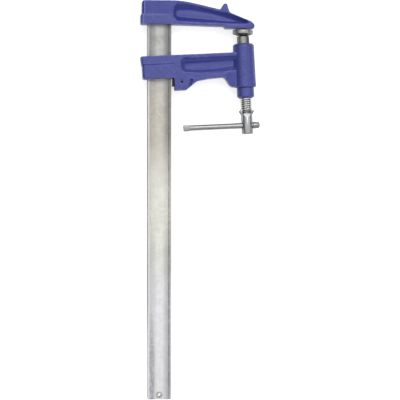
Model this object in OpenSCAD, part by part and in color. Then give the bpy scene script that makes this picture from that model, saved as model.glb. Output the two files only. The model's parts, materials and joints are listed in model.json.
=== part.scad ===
// Quick release bar clamp, lying on its side.
// +X runs down the bar, away from the fixed jaw. +Y is the throat, from the bar out to the screw.
// +Z points up out of the wide face of the bar. The origin is the centre of the fixed jaw's anvil face.
// The sliding arm and all it carries are drawn round the brake pin, square to the screw, and then set in place.

/* [Bar] */
// Width of the bar
bar_w = 35; // [30:0.5:38]
// Thickness over the ribs at the bar's edges
bar_t = 9; // [8:0.5:11]
// Reach of the bar past the anvil face
bar_reach = 539.5; // [360:1:900]
// Width of the rib along each edge
rib_w = 3; // [2:0.1:5]
// Depth of the dished channel in the middle of each wide face
channel_depth = 1.8; // [0.8:0.1:2.4]
// Diameter of the stop pin at the foot
stop_pin_d = 8; // [6:0.5:10]

/* [Fixed jaw] */
// Distance from the anvil's centre to the bar's centre line
throat = 122.4; // [115:0.1:130]
// Thickness of the jaw over its flanges
jaw_t = 25; // [22:0.5:28]
// Thickness of the web between the pockets
web_t = 7; // [5:0.5:9]

/* [Sliding arm] */
// Distance from the brake pin to the screw's axis
screw_reach = 93.6; // [92:0.1:96]
// Thickness of the box round the bar
box_t = 25; // [23:0.5:27]
// Thickness of the beam over its flanges
beam_t = 21; // [18:0.5:24]
// Angle that the arm is rocked back from square when it is free
rock = 2.8; // [0:0.1:2.8]
// Play between the bar and the box at the front and back faces
window_play = 0.5; // [0.3:0.05:0.7]
// Diameter of the sleeve round the screw at its mouth
sleeve_d = 31; // [29:0.5:33]
// Swell of the sleeve from its mouth to its foot
sleeve_swell = 1; // [0:0.25:1.5]

/* [Brake] */
// Diameter of the hollow brake pin
brake_pin_d = 6; // [5:0.25:6.5]
// Gap between the shoe's teeth and the bar
shoe_gap = 1; // [0.5:0.1:1.5]
// Thickness of the shoe
shoe_t = 9.4; // [8:0.1:9.5]
// Number of teeth on the shoe
shoe_teeth = 6; // [3:1:7]

/* [Screw] */
// Diameter of the spindle
screw_d = 16; // [14:0.5:16]
// Diameter of the shank that slides in the sleeve
shank_d = 17.6; // [17:0.1:18]
// Diameter of the pad
pad_d = 29.4; // [26:0.2:30]
// Diameter of the nut's collar
collar_d = 25.2; // [24:0.2:27]
// Diameter of the tommy bar
tommy_d = 8; // [6:0.25:8.5]
// Length of the tommy bar over its two ends
tommy_length = 112; // [90:1:140]

/* [Hidden] */
$fn = 64;

// Clearances
running = 0.08;          // on the radius of what turns or slides in a bore
seat = 0.1;              // round the bar's head in the fixed jaw

// Places along the bar and across the throat
jaw_top = -39.6;         // back of the fixed jaw
bar_y = -throat;         // centre line of the bar
stop_x = bar_reach - 6.4;
pin_x = 78.6;            // brake pin
pin_y = 3.3 - screw_reach;

// Places along the screw, measured from the brake pin (negative is towards the anvil)
pad_face_x = -72;
flange_foot_x = -66.2;
hub_foot_x = -64.1;
ball_x = -66.6;
shank_top_x = -63.1;
sleeve_mouth_x = -52.4;
tip_x = -36;
shank_foot_x = -24;
shoulder_x = -23.4;
counterbore_x = -6;
nut_inner_x = -2;
sleeve_foot_x = 11.6;
collar_foot_x = 27.6;
ears_x = 42.6;
ears_tip_x = 46.6;
ears_foot_x = 53;
wedge_foot_x = 58;
tommy_x = 67.2;
spindle_foot_x = 79.4;

ball_r = 4.2;
socket_r = 4.3;
clip_x = -31;
clip_wire = 1.2;

// The corner at b of a path a-b-c, rounded to radius r by points on an arc that touches both sides.
function unit(v) = v / norm(v);
function corner(a, b, c, r, steps) =
  let (u = unit(a - b), w = unit(c - b), half = acos(u * w) / 2)
  let (centre = b + unit(u + w) * (r / sin(half)))
  let (from = b + u * (r / tan(half)) - centre, to = b + w * (r / tan(half)) - centre)
  let (start = atan2(from.y, from.x), turn = atan2(cross(from, to), from * to))
  [for (i = [0 : steps]) centre + r * [cos(start + turn * i / steps), sin(start + turn * i / steps)]];

// An outline from [x, y, radius] corners: a radius of 0 keeps the corner sharp.
function xy(p) = [p.x, p.y];
function outline(path, steps = 6) =
  let (n = len(path))
  [for (i = [0 : n - 1]) let (p = path[i])
    each p.z == 0 ? [xy(p)] : corner(xy(path[(i + n - 1) % n]), xy(p), xy(path[(i + 1) % n]), p.z, steps)];

belly_rise = 2.5;
rim_run = 2;

// A slab of the outline, centred on Z = 0
module slab(path, t, steps = 6) {
  linear_extrude(height = t, center = true) polygon(outline(path, steps));
}

// The same outline cut into both faces of a slab that is t thick, down to a web
module pockets(path, t, web) {
  for (side = [-1, 1])
    translate([0, 0, side * (web + t) / 4]) slab(path, (t - web) / 2 + 0.02);
}

// Pockets with sloping sides in both faces of a slab that is t thick: each is a hull over its floor on the web,
// a belly that rounds out its lower slope, and its rim, which runs on through whatever stands over the slab
module drafted_pockets(rim, belly, floor, t, web) {
  for (side = [0, 1]) mirror([0, 0, side]) hull() {
    translate([0, 0, web / 2]) linear_extrude(height = 0.01) polygon(outline(floor, 4));
    translate([0, 0, web / 2 + belly_rise]) linear_extrude(height = 0.01) polygon(outline(belly, 4));
    translate([0, 0, t / 2]) linear_extrude(height = rim_run) polygon(outline(rim, 4));
  }
}

// Thins both faces of a box from nothing at y1 to the whole fall at y0, between x0 and x1
module relief(x0, x1, y0, y1, t, fall) {
  for (side = [0, 1]) mirror([0, 0, side]) translate([x0, 0, 0]) rotate([90, 0, 90])
    linear_extrude(height = x1 - x0) polygon([[y0, t / 2 - fall], [y1, t / 2], [y1, t / 2 + 1], [y0, t / 2 + 1]]);
}

// A round body along X from [x, radius, corner radius] points
module turned(path, steps = 4) {
  rotate([0, 90, 0]) rotate_extrude() polygon([for (p = outline(path, steps)) [p.y, p.x]]);
}

module rod(x0, x1, d) {
  translate([x0, 0, 0]) rotate([0, 90, 0]) cylinder(h = x1 - x0, d = d);
}

// A ball on the screw's axis, from two quarter arcs
module ball(r) {
  arc = 0.99 * r;
  translate([ball_x, 0, 0]) turned([[-r, 0, 0], [-r, r, arc], [r, r, arc], [r, 0, 0]], 12);
}

module cross_pin(d, h) {
  cylinder(h = h, d = d, center = true);
}

// Sets a piece drawn round the brake pin in its place
module on_arm() {
  translate([pin_x, pin_y, 0]) rotate([0, 0, rock]) children();
}

module on_screw() {
  on_arm() translate([0, screw_reach, 0]) children();
}

// ---- Bar ----

bar_half = [bar_w / 2, bar_t / 2];
rib_drop = 0.5;          // height of the rib over the channel's edge
slope_w = 0.8;
bar_corner = 1;
foot_corner = 2.5;

module bar_section() {
  rib_y = bar_half.x - rib_w;
  dish = channel_depth - rib_drop;
  face = concat(
    [[-bar_half.x, bar_half.y, bar_corner], [-rib_y, bar_half.y, 0.4]],
    [for (i = [-1 : 0.2 : 1.01]) [i * (rib_y - slope_w), bar_half.y - rib_drop - dish * (1 - i * i), 0]],
    [[rib_y, bar_half.y, 0.4], [bar_half.x, bar_half.y, bar_corner]]
  );
  polygon(outline(concat(face, [for (i = [len(face) - 1 : -1 : 0]) [face[i].x, -face[i].y, face[i].z]]), 3));
}

stake_d = 6;
stake_h = 1.2;
stake_inset = 1.4;

module bar() {
  color("silver") difference() {
    union() {
      intersection() {
        translate([jaw_top, bar_y, 0]) rotate([90, 0, 90])
          linear_extrude(height = bar_reach - jaw_top) bar_section();
        slab([
          [jaw_top, bar_y - bar_half.x - 1, 0], [jaw_top, bar_y + bar_half.x + 1, 0],
          [bar_reach, bar_y + bar_half.x, foot_corner], [bar_reach, bar_y - bar_half.x, foot_corner]
        ], 2 * bar_t);
      }
      for (side = [-1, 1])
        translate([jaw_top, bar_y + side * (bar_half.x - stake_d / 2 - stake_inset), 0])
          rotate([0, -90, 0]) cylinder(h = stake_h, d1 = stake_d, d2 = stake_d - 2);
    }
    translate([stop_x, bar_y, 0]) cross_pin(stop_pin_d, 2 * bar_t);
  }
}

stop_pin_h = 13;
stop_pin_bore = 5;

module end_stop_pin() {
  color("gainsboro") translate([stop_x, bar_y, 0]) difference() {
    union() {
      cross_pin(stop_pin_d, stop_pin_h - 2);
      for (side = [0, 1]) mirror([0, 0, side]) translate([0, 0, stop_pin_h / 2 - 1])
        cylinder(h = 1, d1 = stop_pin_d, d2 = stop_pin_d - 1);
    }
    cross_pin(stop_pin_bore, stop_pin_h + 1);
    translate([stop_pin_d / 2, 0, 0]) cube([stop_pin_d, 0.8, stop_pin_h + 1], center = true);
  }
}

// ---- Fixed jaw ----

jaw_left = bar_y - 27.4;
box_inset = 2;           // how far the box stands in from its collar
box_fall = 0.9;          // how much thinner each box is at its back edge
collar_x = -18.4;
tip_y = 17.2;
tip_t = 20;
plan_corner = 2.2;

jaw_path = [
  [jaw_top, jaw_left + box_inset, 3], [jaw_top, -87.5, 150], [-27, -33.2, 3],
  [-35.8, -28.6, 1], [-35.8, -24.2, 1], [-23.8, -20.6, 4], [-21.6, -17, 10],
  [-10.2, 11.6, 8], [-5.2, tip_y, 2.5], [0, tip_y - 1.4, 1],
  [0, -26, 1.5], [-2.8, -27.4, 1], [-4.9, bar_y + 20, 0], [-4.9, jaw_left, 1.5],
  [collar_x, jaw_left, 0.8], [collar_x - 1.4, jaw_left + box_inset, 0.8]
];

jaw_pocket_rim = [
  [-36.2, -102.6, 12], [-37, -84, 40], [-25, -32, 20], [-19.4, -15.4, 12],
  [-9.8, 9, 1.6], [-6.6, 9, 1], [-6.6, -20, 6], [-8.4, -102.6, 12]
];

jaw_pocket_belly = [[-24, -99.4, 5], [-18, -32, 20], [-10, 2, 1], [-8, 2, 0.8], [-12.4, -99.4, 6]];

jaw_pocket_floor = [
  [-26.4, -98.2, 5], [-27.4, -80, 20], [-20.4, -41, 30], [-9.8, -4, 1], [-9, -4, 0.4], [-17.4, -98.2, 5]
];

// How thick the jaw is along the throat, as half an outline in Y and Z
module jaw_plan(t, x0, x1) {
  half = t / 2;
  translate([x0, 0, 0]) rotate([90, 0, 90]) linear_extrude(height = x1 - x0) polygon(outline([
    [jaw_left, -half, plan_corner], [bar_y + 24, -half, 8], [bar_y + 32, -beam_t / 2, 8],
    [-34, -beam_t / 2, 12], [-24, -half, 12], [4, -half, 14], [tip_y, -tip_t / 2, 5],
    [tip_y, tip_t / 2, 5], [4, half, 14], [-24, half, 12], [-34, beam_t / 2, 12],
    [bar_y + 32, beam_t / 2, 8], [bar_y + 24, half, 8], [jaw_left, half, plan_corner]
  ], 4));
}

module fixed_jaw() {
  color("slateblue") difference() {
    intersection() {
      slab(jaw_path, jaw_t + 2);
      jaw_plan(jaw_t, jaw_top - 1, 1);
    }
    drafted_pockets(jaw_pocket_rim, jaw_pocket_belly, jaw_pocket_floor, jaw_t, web_t);
    relief(jaw_top - 1, collar_x, jaw_left - 1, bar_y + 24, jaw_t, box_fall);
    translate([jaw_top - 1, bar_y, 0]) rotate([90, 0, 90]) linear_extrude(height = -jaw_top)
      square([bar_w + 2 * seat, bar_t + 2 * seat], center = true);
  }
}

// ---- Sliding arm ----

// The window leaves the arm room to rock from free to square on the bar.
rock_room = 2.2;
back_play = 0.55;
shoe_to_edge = -(bar_y + bar_w / 2) + pin_y;
window_right = -shoe_to_edge + rock_room;
window_left = -shoe_to_edge - bar_w - back_play;
box_top = -39.2;
box_foot = -5.9;
box_left = -56;
box_collar = -28.4;
lug_left = -10.2;
lug_foot = 11.6;
slot_t = shoe_t + 0.8;

arm_path = [
  [box_top, box_left - 2.4, 2], [box_top - 0.7, screw_reach, 0], [sleeve_foot_x - 1, screw_reach, 0],
  [sleeve_foot_x - 1, screw_reach - 21.5, 8], [-4.4, 63, 5], [-3.2, 40, 60], [-0.6, 23.4, 12],
  [lug_foot, 7.2, 4.5], [lug_foot, lug_left, 1.5], [box_foot, lug_left, 2.5],
  [box_foot, box_left, 3], [box_collar + 1.6, box_left, 1], [box_collar, box_left - 0.9, 0.8]
];

arm_pocket_end = screw_reach - 6;
arm_pocket_rim = [
  [-35, 0.2, 8], [-35.6, arm_pocket_end, 3], [-12, arm_pocket_end, 3], [-11.8, 60, 12],
  [-13.2, 22, 20], [-14.9, 0.2, 7]
];

arm_pocket_belly = [
  [-29.6, 4.2, 5], [-30.6, arm_pocket_end, 3], [-19.6, arm_pocket_end, 3], [-14.6, 50, 20],
  [-14.4, 26, 20], [-15.8, 4.2, 6]
];

arm_pocket_floor = [
  [-27.6, 6.6, 3], [-29, arm_pocket_end, 2], [-22.6, arm_pocket_end, 2], [-17.2, 48, 20],
  [-16.4, 26, 20], [-18.4, 6.6, 3]
];

// Shallow steps along the beam's lower flange and on the face of the gusset under the sleeve
flange_step = [[-15, 19, 1], [-16, screw_reach, 0], [-10.2, screw_reach, 0], [-10.4, 44, 30], [-11.8, 19, 1]];
gusset_face = [[-10.4, 65, 2], [-10.2, screw_reach, 0], [sleeve_foot_x + 2, screw_reach, 0], [sleeve_foot_x + 2, 63, 0]];

shoe_slot = [
  [-10.6, window_right - 8, 0], [-10.6, 7.5, 3], [-4, 12.6, 3], [5, 9, 3], [lug_foot + 2, 9, 0],
  [lug_foot + 2, window_right - 8, 0]
];

// How thick the arm is along its length
module arm_plan() {
  half = box_t / 2;
  beam = beam_t / 2;
  translate([box_top - 2, 0, 0]) rotate([90, 0, 90])
    linear_extrude(height = lug_foot - box_top + 4) polygon(outline([
      [box_left - 2, -half, plan_corner], [6, -half, 10], [16, -beam, 10],
      [screw_reach + 4, -beam, 0], [screw_reach + 4, beam, 0], [16, beam, 10], [6, half, 10],
      [box_left - 2, half, plan_corner]
    ], 4));
}

sleeve_round = 4;
nut_plug_d = 21.6;
groove_depth = 6;

cheek_groove = [[-3.8, 13.6, 1], [-2.8, 16.8, 1], [8, 13.4, 0], [8, 10.2, 0]];

module window() {
  translate([box_top - 5, window_left, -bar_t / 2 - window_play])
    cube([box_foot - box_top + 10, window_right - window_left, bar_t + 2 * window_play]);
}

module sliding_arm() {
  color("slateblue") on_arm() difference() {
    union() {
      difference() {
        intersection() {
          slab(arm_path, box_t + 2);
          arm_plan();
        }
        drafted_pockets(arm_pocket_rim, arm_pocket_belly, arm_pocket_floor, beam_t + 1.2, web_t);
        pockets(flange_step, box_t + 2, beam_t - 2.4);
        pockets(gusset_face, box_t + 2, beam_t - 3);
        relief(box_collar, lug_foot + 1, box_left - 4, lug_left + 1, box_t, box_fall);
      }
      translate([0, screw_reach, 0]) turned([
        [sleeve_mouth_x, 0, 0], [sleeve_mouth_x, sleeve_d / 2, sleeve_round],
        [sleeve_foot_x, (sleeve_d + sleeve_swell) / 2, 1], [sleeve_foot_x, 0, 0]
      ]);
    }
    window();
    slab(shoe_slot, slot_t);
    pockets(cheek_groove, box_t + 2, box_t - 2 * groove_depth);
    cross_pin(brake_pin_d, box_t + 2);
    translate([0, screw_reach, 0]) {
      rod(sleeve_mouth_x - 1, sleeve_foot_x + 1, shank_d + 1);
      rod(counterbore_x, sleeve_foot_x + 1, nut_plug_d);
    }
  }
}

// ---- Brake ----

shoe_back = 5.6;
tooth_pitch = 2.1;
tooth_depth = 0.9;

module brake_shoe() {
  face = -shoe_to_edge + shoe_gap;
  color("black") translate([pin_x, pin_y, 0]) difference() {
    slab([
      [-8.4, face, 0.6], [-8.4, -5.5, 1.5], [-5.6, 3.4, 3], [-2, 6.2, 1.5], [3.4, shoe_back, 2.5],
      [6.2, -1, 3], [6.2, face, 0.6]
    ], shoe_t);
    cross_pin(brake_pin_d + 2 * running, shoe_t + 1);
    for (i = [0 : shoe_teeth - 1])
      translate([-7.2 + i * tooth_pitch, face, 0]) slab([
        [-tooth_pitch * 0.1, -0.1, 0], [tooth_pitch * 0.8, -0.1, 0], [tooth_pitch * 0.1, tooth_depth, 0]
      ], shoe_t + 1);
  }
}

brake_pin_h = 24.2;
brake_pin_bore = 3.6;

module brake_pin() {
  color("gray") on_arm() difference() {
    cross_pin(brake_pin_d, brake_pin_h);
    cross_pin(brake_pin_bore, brake_pin_h + 1);
    translate([brake_pin_d / 2, 0, 0]) cube([brake_pin_d, 0.6, brake_pin_h + 1], center = true);
  }
}

spring_w = 8;

module brake_spring() {
  color("dimgray") on_arm() slab([
    [-10.4, -5.5, 0], [-10.4, 6.7, 2.5], [-4.2, 11.4, 2], [3.2, 7.6, 0],
    [2.9, 6.9, 0], [-4.1, 10.5, 1.3], [-9.7, 6.35, 1.8], [-9.7, -5.5, 0]
  ], spring_w);
}

// ---- Screw ----

module spindle_nut() {
  color("slateblue") on_screw() difference() {
    turned([
      [nut_inner_x, 0, 0], [nut_inner_x, nut_plug_d / 2, 0.8], [sleeve_foot_x, nut_plug_d / 2, 0],
      [sleeve_foot_x, collar_d / 2, 0.5], [collar_foot_x - 2.4, collar_d / 2, 0.8],
      [collar_foot_x, collar_d / 2 - 3.6, 0.3], [collar_foot_x, 0, 0]
    ]);
    rod(nut_inner_x - 1, collar_foot_x + 1, screw_d + 2 * running);
  }
}

tip_d = 10;
stud_r = 1.9;
flare_r = 5.5;
clip_groove = 1.4;

module pad_shank() {
  color("silver") on_screw() difference() {
    union() {
      turned([
        [ball_x, 0, 0], [ball_x, stud_r, 0], [ball_x + 1.6, stud_r, 0], [shank_top_x, flare_r, 0],
        [shank_top_x, shank_d / 2, 1], [shank_foot_x, shank_d / 2, 0.6], [shank_foot_x, 0, 0]
      ]);
      ball(ball_r);
    }
    rod(tip_x - 0.3, shank_foot_x + 1, tip_d + 2 * running);
    rod(clip_x - clip_wire / 2 - 0.1, clip_x + clip_wire / 2 + 0.1, 2 * (tip_d / 2 + clip_groove));
  }
}

clip_outer = tip_d / 2 + clip_groove - 0.1;
clip_inner = tip_d / 2 - 0.5;

module spindle_clip() {
  color("dimgray") on_screw() translate([clip_x, 0, 0]) difference() {
    rod(-clip_wire / 2, clip_wire / 2, 2 * clip_outer);
    rod(-clip_wire, clip_wire, 2 * clip_inner);
    rotate([45, 0, 0]) translate([-clip_wire, 0, 0]) cube([2 * clip_wire, clip_outer + 1, clip_outer + 1]);
  }
}

mouth_x = ball_x + 1.4;
mouth_r = 3.8;
recess_r = 7;

// The pad swivels on the ball and lies square to the anvil.
module swivel_pad() {
  color("silver") on_screw() translate([ball_x, 0, 0]) rotate([0, 0, -rock]) translate([-ball_x, 0, 0])
    difference() {
      turned([
        [pad_face_x, 0, 0], [pad_face_x, pad_d / 2, 0.8], [flange_foot_x, pad_d / 2, 1.2],
        [flange_foot_x + 0.6, shank_d / 2 + 3, 1], [hub_foot_x, shank_d / 2 + 0.2, 0.6], [hub_foot_x, 0, 0]
      ]);
      ball(socket_r);
      turned([
        [mouth_x, 0, 0], [mouth_x, mouth_r, 0], [hub_foot_x + 0.1, recess_r, 0], [hub_foot_x + 0.1, 0, 0]
      ]);
    }
}

ear_reach = 11.1;
ear_t = 6;
wedge_z = 5.6;           // how far the foot of the pressed wedge stays from the axis

// Two ears pinched out of the screw's sides
module ears() {
  edge = screw_d / 2 - 0.6;
  slab([
    [ears_x, -edge, 0], [ears_tip_x, -ear_reach, 1.4], [ears_foot_x, -edge, 3], [ears_foot_x + 1, 0, 0],
    [ears_foot_x, edge, 3], [ears_tip_x, ear_reach, 1.4], [ears_x, edge, 0]
  ], ear_t);
}

// The wedge that the pinching tool leaves in the front and the back
module pressed_wedges() {
  for (side = [-1, 1])
    rotate([90, 0, 0]) linear_extrude(height = 3 * ear_reach, center = true)
      polygon([
        [ears_tip_x - 1.6, side * screw_d], [ears_tip_x - 0.4, side * wedge_z], [ears_tip_x + 2, side * wedge_z],
        [wedge_foot_x, side * (screw_d / 2 + 0.3)], [wedge_foot_x, side * screw_d]
      ]);
}

module spindle() {
  groove_r = tip_d / 2 - 0.8;
  color("silver") on_screw() difference() {
    union() {
      turned([
        [tip_x, 0, 0], [tip_x, tip_d / 2, 0.6], [clip_x - 0.8, tip_d / 2, 0], [clip_x - 0.8, groove_r, 0],
        [clip_x + 0.8, groove_r, 0], [clip_x + 0.8, tip_d / 2, 0], [shoulder_x, tip_d / 2, 0],
        [shoulder_x, screw_d / 2, 1], [spindle_foot_x, screw_d / 2, 1], [spindle_foot_x, 0, 0]
      ]);
      ears();
    }
    pressed_wedges();
    translate([tommy_x, 0, 0]) rotate([90, 0, 0]) cross_pin(tommy_d + 0.5, 2 * screw_d);
  }
}

// ---- Tommy bar ----

cap_d = 9.6;
cap_start = screw_d / 2 + 0.4;
cap_length = 10;
cap_bore = 5.6;
swage_length = 8;
swage_w = 9.2;
swage_t = 6.6;
tommy_right = cap_start + cap_length;
tommy_left = tommy_right - tommy_length;

module on_tommy() {
  on_screw() translate([tommy_x, 0, 0]) rotate([0, 0, 90]) children();
}

module tommy_bar() {
  color("silver") on_tommy() {
    turned([
      [tommy_left + 1, 0, 0], [tommy_left + 1, tommy_d / 2 - 0.6, 0.4], [tommy_left + swage_length, tommy_d / 2, 0],
      [cap_start + 1.5, tommy_d / 2, 0.2], [cap_start + 1.5, cap_bore / 2, 0], [tommy_right - 2, cap_bore / 2, 0.5],
      [tommy_right - 2, 0, 0]
    ]);
    slab([
      [tommy_left, -swage_w / 2 + 0.6, 2], [tommy_left + swage_length - 3, -swage_w / 2, 3],
      [tommy_left + swage_length, -tommy_d / 2 + 0.2, 0], [tommy_left + swage_length, tommy_d / 2 - 0.2, 0],
      [tommy_left + swage_length - 3, swage_w / 2, 3], [tommy_left, swage_w / 2 - 0.6, 2]
    ], swage_t);
  }
}

module tommy_cap() {
  color("silver") on_tommy() difference() {
    turned([
      [cap_start, 0, 0], [cap_start, cap_d / 2, 1], [tommy_right, cap_d / 2, 2.6], [tommy_right, 0, 0]
    ], 6);
    rod(cap_start - 1, cap_start + 1.5, tommy_d);
    rod(cap_start, tommy_right - 1.8, cap_bore);
  }
}

bar();
end_stop_pin();
fixed_jaw();
brake_shoe();
sliding_arm();
brake_pin();
brake_spring();
spindle_nut();
pad_shank();
spindle_clip();
swivel_pad();
spindle();
tommy_bar();
tommy_cap();
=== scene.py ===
"""Dresses a quick release bar clamp: painted cast jaws, a galvanised bar and a plated screw."""
import json
import math

import bmesh
import bpy
from mathutils import Matrix, Vector, noise


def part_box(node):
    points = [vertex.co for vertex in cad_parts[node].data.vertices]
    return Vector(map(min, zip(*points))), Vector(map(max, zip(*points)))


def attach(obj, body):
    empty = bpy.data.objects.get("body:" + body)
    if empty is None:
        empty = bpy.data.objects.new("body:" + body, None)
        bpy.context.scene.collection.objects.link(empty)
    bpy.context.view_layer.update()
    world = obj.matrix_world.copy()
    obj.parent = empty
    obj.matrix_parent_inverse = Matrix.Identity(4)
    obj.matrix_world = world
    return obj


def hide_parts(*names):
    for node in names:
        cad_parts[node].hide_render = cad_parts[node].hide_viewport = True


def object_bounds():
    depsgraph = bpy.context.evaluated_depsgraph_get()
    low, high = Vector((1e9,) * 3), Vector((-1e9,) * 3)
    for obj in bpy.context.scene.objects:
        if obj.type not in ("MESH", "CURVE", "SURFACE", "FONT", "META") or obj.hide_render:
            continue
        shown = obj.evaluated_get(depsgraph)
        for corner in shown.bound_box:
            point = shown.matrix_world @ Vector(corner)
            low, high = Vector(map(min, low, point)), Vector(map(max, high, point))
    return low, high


bl_info = {
    "name": "Quick release bar clamp",
    "version": (1, 0, 0),
    "blender": (4, 5, 0),
    "location": "3D View > Sidebar > Clamp",
    "description": "Builds the looks of a quick release bar clamp round its measured frame",
    "category": "Object",
}

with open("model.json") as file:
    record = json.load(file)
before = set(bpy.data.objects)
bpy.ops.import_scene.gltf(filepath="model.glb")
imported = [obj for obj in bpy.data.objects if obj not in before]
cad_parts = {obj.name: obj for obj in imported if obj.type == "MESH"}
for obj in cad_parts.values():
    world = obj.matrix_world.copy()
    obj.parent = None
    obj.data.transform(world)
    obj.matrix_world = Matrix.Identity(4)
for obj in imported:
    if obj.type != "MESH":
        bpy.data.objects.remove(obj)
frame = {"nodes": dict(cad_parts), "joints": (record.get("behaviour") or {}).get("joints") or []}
CAD_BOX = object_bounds()
MM = 0.001


# ---- Places ----


def joint(name):
    """One of the frame's joints, by name."""
    return next(j for j in frame["joints"] if j["name"] == name)


def arm_frame():
    """The sliding arm's own axes: X down the screw, Y out along the arm, from the brake pin."""
    along = Vector(joint("spindle_turn")["axis"]).normalized()
    across = Vector(joint("tommy_slide")["axis"]).normalized()
    up = along.cross(across)
    turn = Matrix((along, across, up)).transposed().to_4x4()
    return Matrix.Translation(Vector(joint("arm_rock")["pos_m"])) @ turn


def quarter(axis):
    """A quarter turn about one axis."""
    return Matrix.Rotation(math.radians(90), 4, axis)


# Apart from BALL, lengths from here to the settings are in millimetres. X runs down the screw
# from the brake pin, or down the bar where it says the jaw.
ARM = arm_frame()
BALL = ARM.inverted() @ Vector(joint("spindle_turn")["pos_m"])
BALL_X = BALL.x / MM
BALL_R = 4.2
SCREW = ARM @ Matrix.Translation((0, BALL.y, 0))
SCREW_R = 8.0

# The spindle, from its tip in the shank to the foot of its head
TIP_X = -36
GROOVE_X = (-31.8, -30.2)
GROOVE_R = 4.2
TIP_R = 5
THREAD_X = -23.3
EARS_X = 42.6
EARS_TIP_X = 46.6
EARS_FOOT_X = 53.0
EAR_REACH = 11.1
WEDGE_FOOT_X = 56.0
TOMMY_X = 67.2
TOMMY_HOLE_R = 4.25
SPINDLE_FOOT_X = 79.4

# The shank and the pad, whose hub stands clear of the shank at its full tilt
SHANK_TOP_X = -63.1
SHANK_FOOT_X = -24
SHANK_R = 8.8
SHANK_BORE_R = 5.1
SHANK_BORE_X = -36.3
PAD_FACE_X = -72
PAD_R = 14.7
HUB_FOOT_X = -64.3

# The tommy bar, along itself from the screw's axis
TOMMY_R = 4.0
TOMMY_LEFT = -93.6
TOMMY_RIGHT = 18.4
TENON_R = 2.8

# The bar's ends
BAR_HALF = 17.5
FOOT_CORNER = 2.5
STAKE_IN = 4.4

# The spring pins
STOP_PIN = {"radius": 4.0, "bore": 2.5, "slit": 0.8}
BRAKE_PIN = {"radius": 3.0, "bore": 1.8, "slit": 0.6, "plug": 4}

# The castings' rounded left ends: each row is (X, where the end lies), for the jaw also whether
# the place is on the box behind the collar
END_ROUND = 3.6
END_FALL = 0.19
JAW_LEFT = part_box("fixed_jaw")[0].y / MM
JAW_END = ((-20.4, 2, 1), (-18.8, 0, 0))
ARM_END = ((-39.2, -58.4), (-28.4, -56.9), (-26.8, -56), (-5.9, -56))

# The step along the arm's box, with a painted shadow line along it and a painted highlight on the
# lip above, and a band of painted highlight in its pocket's slope where a ledge would lie
BOX_STEP_X = -26.4
BOX_STEP = 0.3
LIP_X = BOX_STEP_X - 2.2
LEDGE_X = -31.2

# Where a casting counts as flat, by its normal, and as outside the pocket, by its height
FLAT = 0.8
FACE_Z = 9
END_FACE_Z = 6

# How dark the paint is made there: above 0 darker, as painted shade everywhere but on the jaw's
# box, which is simply darker, and below 0 lighter, as painted highlight
END_SHADE = 0.3
CREST_SHADE = -0.9
BOX_SHADE = 0.5
JAW_TIP_SHADE = 0.25
CROWN_SHADE = -0.25
FLANGE_SHADE = 1.1
SLOPE_SHADE = -0.16
LEDGE_SHADE = -0.22
STEP_SHADE = 0.85
LIP_SHADE = -0.35

# The floors of the pockets, shaded as dishes: painted shade at the top, a painted highlight on the
# crown and painted shade at the foot; the jaw's rows are (Y, crown X, foot X)
JAW_DISH = ((-94, -22.5, -13), (-56, -20.5, -10.5), (-21, -12.7, -8))
ARM_TOP_X = -28.3
ARM_CROWN_X = -20.9
ARM_FOOT_X = -15.4


# ---- Settings ----


def size(name, text, value, low=0.0, high=1.0):
    return bpy.props.FloatProperty(
        name=name, description=text, default=value, min=low, max=high, precision=5, unit="LENGTH"
    )


def colour(name, text, value):
    return bpy.props.FloatVectorProperty(
        name=name, description=text, default=value, min=0, max=1, size=3, subtype="COLOR"
    )


def level(name, text, value, unit="NONE"):
    return bpy.props.FloatProperty(name=name, description=text, default=value, unit=unit)


class ClampSizes(bpy.types.PropertyGroup):
    """Sizes that the frame doesn't give"""

    bar_rib: size("Bar rib", "Width of the flat rib along each edge of the bar", 0.003)
    bar_drop: size("Rib drop", "Height of the rib over the channel's edge", 0.0005)
    bar_channel: size("Bar channel", "Depth of the channel in the middle of each face", 0.0018)
    bar_edge: size("Bar edge", "Radius along the bar's long edges", 0.001)
    thread_pitch: size("Thread pitch", "Rise of the screw's thread in one turn", 0.003)
    thread_depth: size("Thread depth", "Depth of the screw's thread", 0.00125)
    cast_voxel: size("Casting detail", "Size of the cells that castings are remade from", 0.00064)
    cast_grain: size("Casting grain", "Height of the sand's grain in the castings", 0.00007)
    cast_passes: bpy.props.IntProperty(
        name="Casting softness", description="Smoothing passes over a casting",
        default=9, min=1, max=40,
    )


class ClampColours(bpy.types.PropertyGroup):
    """Base colours of the finishes"""

    paint: colour("Paint", "Violet-blue enamel on the castings", (0.063, 0.077, 0.352))
    # The thin paint colour serves both for worn edges and for painted highlights.
    thin_paint_and_highlight: colour("Thin paint", "Enamel where it is thin on an edge", (0.17, 0.19, 0.52))
    # The bar's top colour is darker, partly as painted shade of the jaws over the bar.
    bar_top: colour("Bar, top", "Zinc on the bar between the jaws", (0.49, 0.485, 0.475))
    bar_warm: colour("Bar, upper", "Zinc on the bar's upper stretch", (0.61, 0.57, 0.5))
    bar_bright: colour("Bar, middle", "Zinc on the bar's middle stretch", (0.85, 0.85, 0.78))
    bar_cool: colour("Bar, foot", "Zinc on the bar's foot", (0.92, 0.92, 0.95))
    zinc: colour("Bright zinc", "Plating on the screw and its parts", (0.42, 0.425, 0.43))
    black: colour("Black steel", "Finish of the brake shoe", (0.012, 0.012, 0.014))
    spring: colour("Spring steel", "Finish of the springs", (0.3, 0.3, 0.31))
    pin: colour("Spring pin", "Finish of the stop pin", (0.5, 0.5, 0.5))


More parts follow.
